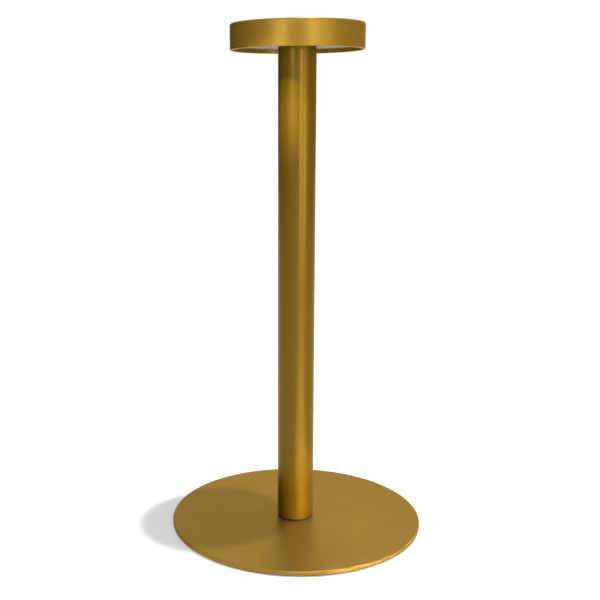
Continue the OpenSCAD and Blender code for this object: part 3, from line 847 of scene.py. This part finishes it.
    @staticmethod
    def soft_box(scene, name, size, watts, colour):
        lamp = bpy.data.lights.new(name, "AREA")
        lamp.shape = "RECTANGLE"
        lamp.size, lamp.size_y = size
        lamp.energy, lamp.color = watts, colour
        box = bpy.data.objects.new(name, lamp)
        scene.collection.objects.link(box)
        box.visible_camera = False
        return box

    def walls(self, scene):
        """Dim walls round the back, which only the gloss of the metal shows. They stand on the
        floor, and the left and right ones darken from front to back."""
        # Name, turn, width, middle, and the colours at the front and at the back
        rows = (
            ("left_wall", math.pi / 2, 5.5, (-1.6, 1.25, 0.7),
             (0.58, 0.48, 0.33, 1.0), (0.03, 0.02, 0.01, 1.0)),
            ("right_wall", math.pi / 2, 5.5, (1.6, 1.25, 0.7),
             (0.78, 0.64, 0.42, 1.0), (0.5, 0.4, 0.24, 1.0)),
            ("back_wall", 0.0, 3.2, (0.0, 4.0, 0.5),
             (0.3, 0.22, 0.1, 1.0), (0.3, 0.22, 0.1, 1.0)),
        )
        for name, turn, width, place, near, far in rows:
            bm = bmesh.new()
            bmesh.ops.create_grid(bm, x_segments=1, y_segments=1, size=0.5)
            bmesh.ops.scale(bm, vec=(width, 2 * place[2], 1.0), verts=bm.verts[:])
            turned(bm, math.pi / 2, "X")
            turned(bm, turn, "Z")
            moved(bm, place)
            wall = self.stage_mesh(scene, name, bm)
            finish, tree, shader, coords = new_finish(name + "_cloth")
            depth = put(tree, "ShaderNodeSeparateXYZ", {"Vector": coords}).outputs["Y"]
            fade = ranged(tree, depth, low=0.0, high=1.0, near=self.WALL_NEAR, far=self.WALL_FAR)
            tree.links.new(two_tone(tree, fade, near, far), shader.inputs["Emission Color"])
            levels(shader, {"Base Color": BLACK, "Emission Strength": 1.0})
            wall.data.materials.append(finish)
            wall.visible_camera = wall.visible_diffuse = wall.visible_shadow = False

    def camera(self, scene, studio):
        pitch, yaw, roll = studio.pitch, studio.yaw, studio.roll
        ahead = Vector((math.sin(yaw) * math.cos(pitch), math.cos(yaw) * math.cos(pitch),
                        -math.sin(pitch)))
        level = Vector((math.cos(yaw), -math.sin(yaw), 0.0))
        upright = level.cross(ahead)
        right = math.cos(roll) * level + math.sin(roll) * upright
        up = math.cos(roll) * upright - math.sin(roll) * level
        data = bpy.data.cameras.new("camera")
        data.sensor_width = self.SENSOR_MM
        data.lens = studio.lens
        data.shift_x = studio.shift
        camera = bpy.data.objects.new("camera", data)
        scene.collection.objects.link(camera)
        turn = Matrix((right, up, -ahead)).transposed().to_4x4()
        camera.matrix_world = Matrix.Translation((0.0, -studio.distance, studio.height)) @ turn
        scene.camera = camera


class LAMP_PT_panel(bpy.types.Panel):
    """Lists the lamp's pieces in the sidebar"""

    bl_idname = "LAMP_PT_panel"
    bl_label = "Table lamp"
    bl_space_type = "VIEW_3D"
    bl_region_type = "UI"
    bl_category = "Lamp"

    def draw(self, context):
        for operator in OPERATORS:
            self.layout.operator(operator.bl_idname)


GROUPS = (LampSizes, LampColours, LampStudio)
OPERATORS = (
    LAMP_OT_base_plate, LAMP_OT_base_pad, LAMP_OT_stem, LAMP_OT_head, LAMP_OT_button,
    LAMP_OT_port_cover, LAMP_OT_cushions, LAMP_OT_works, LAMP_OT_stage,
)


def register():
    for item in (*GROUPS, *OPERATORS, LAMP_PT_panel):
        bpy.utils.register_class(item)
    bpy.types.Scene.lamp_sizes = PointerProperty(type=LampSizes)
    bpy.types.Scene.lamp_colours = PointerProperty(type=LampColours)
    bpy.types.Scene.lamp_studio = PointerProperty(type=LampStudio)


def unregister():
    for name in ("lamp_sizes", "lamp_colours", "lamp_studio"):
        delattr(bpy.types.Scene, name)
    for item in reversed((*GROUPS, *OPERATORS, LAMP_PT_panel)):
        bpy.utils.unregister_class(item)


def main():
    register()
    bpy.ops.lamp.base_plate()
    bpy.ops.lamp.base_pad()
    bpy.ops.lamp.stem()
    bpy.ops.lamp.head()
    bpy.ops.lamp.button()
    bpy.ops.lamp.port_cover()
    bpy.ops.lamp.cushions()
    bpy.ops.lamp.works()
    bpy.ops.lamp.stage()


if __name__ == "__main__":
    main()
